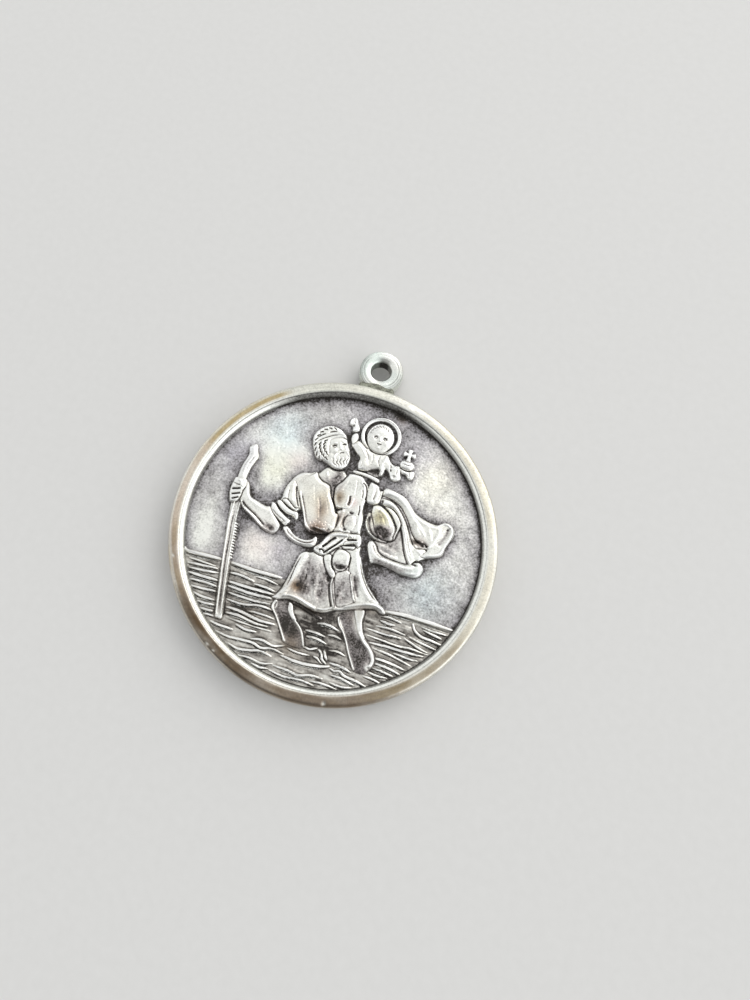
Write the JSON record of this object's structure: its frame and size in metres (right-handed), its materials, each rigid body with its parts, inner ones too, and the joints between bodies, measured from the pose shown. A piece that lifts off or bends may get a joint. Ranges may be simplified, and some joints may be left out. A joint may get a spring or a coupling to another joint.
{
  "type": "medallion pendant",
  "caption": "Round silver medallion with a raised rim, a struck devotional relief over ridged water and a soldered eye ring to hang it by.",
  "frame": {"origin": "centre of the disc on its plain flat back, which is the face it rests on", "axes": "+Z out of the relief side, +Y from the disc's centre to the eye, +X to the wearer's left as seen in the relief, which is the picture's right"},
  "size_m": [0.022, 0.0251, 0.002],
  "materials": {
    "silver": "oxidised silver, worn bright on the high places and dark grey-brown in the hollows"
  },
  "bodies": {
    "root": {"medallion": "silver"}
  },
  "joints": []
}
